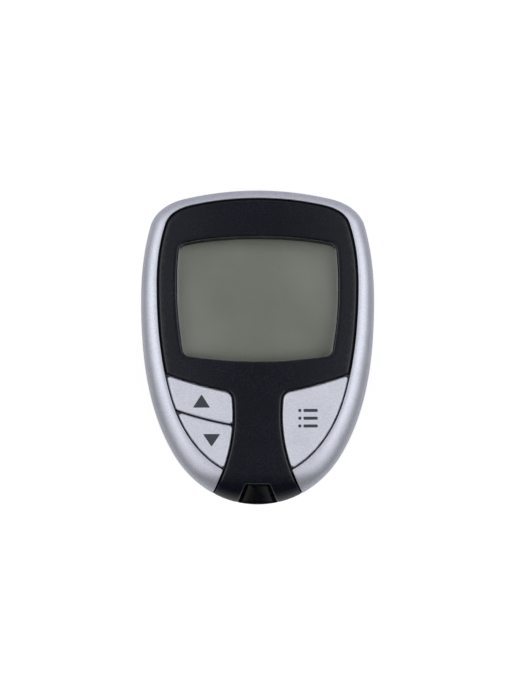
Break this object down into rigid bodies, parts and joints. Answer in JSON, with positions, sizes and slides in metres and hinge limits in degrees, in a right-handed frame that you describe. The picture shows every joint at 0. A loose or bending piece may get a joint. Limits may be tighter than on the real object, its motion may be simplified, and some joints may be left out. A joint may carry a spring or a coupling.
{
  "type": "blood glucose meter",
  "caption": "Palm-sized blood glucose meter with a curved display, sprung keys, a test-strip port and a sliding battery cover on the back.",
  "frame": {"origin": "middle of the face the meter rests on, below the centre of its outline", "axes": "+X to the right across the face, +Y from the strip port to the top of the display, +Z out of the face"},
  "size_m": [0.0572, 0.077, 0.023],
  "materials": {
    "silver_case": "ABS with fine silver metallic paint, satin",
    "silver_key": "ABS with fine silver metallic paint, satin, dark printed symbols",
    "black_face": "black ABS with fine moulded grain",
    "dark_case": "dark grey ABS with moulded grain",
    "window": "clear acrylic with a hard gloss coat",
    "display": "grey-green reflective display",
    "foam": "black closed-cell foam",
    "foil": "brushed reflector foil",
    "white_plastic": "natural moulded plastic",
    "dark_rubber": "silicone with conductive layers",
    "grey_rubber": "translucent grey silicone",
    "board": "green solder mask",
    "chip": "black moulded package",
    "plated_can": "plated metal can",
    "ceramic": "tan ceramic with tinned ends",
    "black_plastic": "black moulded plastic",
    "gold_contact": "gold-plated spring metal",
    "cell_can": "stainless can, turned finish",
    "spring_steel": "nickel-plated spring strip",
    "screw_steel": "zinc-plated steel",
    "label": "blank satin silver film"
  },
  "bodies": {
    "case": {"front_bezel": "silver_case", "fascia": "black_face", "window_lens": "window", "display_gasket": "foam", "lcd_panel": "display", "lcd_reflector": "foil", "lcd_frame": "white_plastic", "zebra_strips": "dark_rubber", "main_board": "board", "microcontroller": "chip", "crystal": "plated_can", "small_components": "ceramic", "buzzer": "black_plastic", "data_jack": "black_plastic", "strip_connector": "white_plastic", "strip_contacts": "gold_contact", "keypad_membrane": "grey_rubber", "rear_shell": "dark_case", "coin_cell_left": "cell_can", "coin_cell_right": "cell_can", "battery_springs": "spring_steel", "battery_clips": "spring_steel", "housing_screws": "screw_steel", "back_label": "label"},
    "up_key": {"key_up": "silver_key", "dome_up": "grey_rubber"},
    "down_key": {"key_down": "silver_key", "dome_down": "grey_rubber"},
    "memory_key": {"key_memory": "silver_key", "dome_memory": "grey_rubber"},
    "door": {"battery_door": "dark_case"}
  },
  "joints": [
    {"name": "up_key_press", "type": "slide", "parent": "case", "child": "up_key", "axis": [0, 0, -1], "range_m": [0, 0.0007], "stiffness_N_per_m": 2500, "springref_m": -0.0002},
    {"name": "down_key_press", "type": "slide", "parent": "case", "child": "down_key", "axis": [0, 0, -1], "range_m": [0, 0.0007], "stiffness_N_per_m": 2500, "springref_m": -0.0002},
    {"name": "memory_key_press", "type": "slide", "parent": "case", "child": "memory_key", "axis": [0, 0, -1], "range_m": [0, 0.0007], "stiffness_N_per_m": 2500, "springref_m": -0.0002},
    {"name": "battery_door_slide", "type": "slide", "parent": "case", "child": "door", "axis": [0, 1, 0], "range_m": [0, 0.032]}
  ]
}
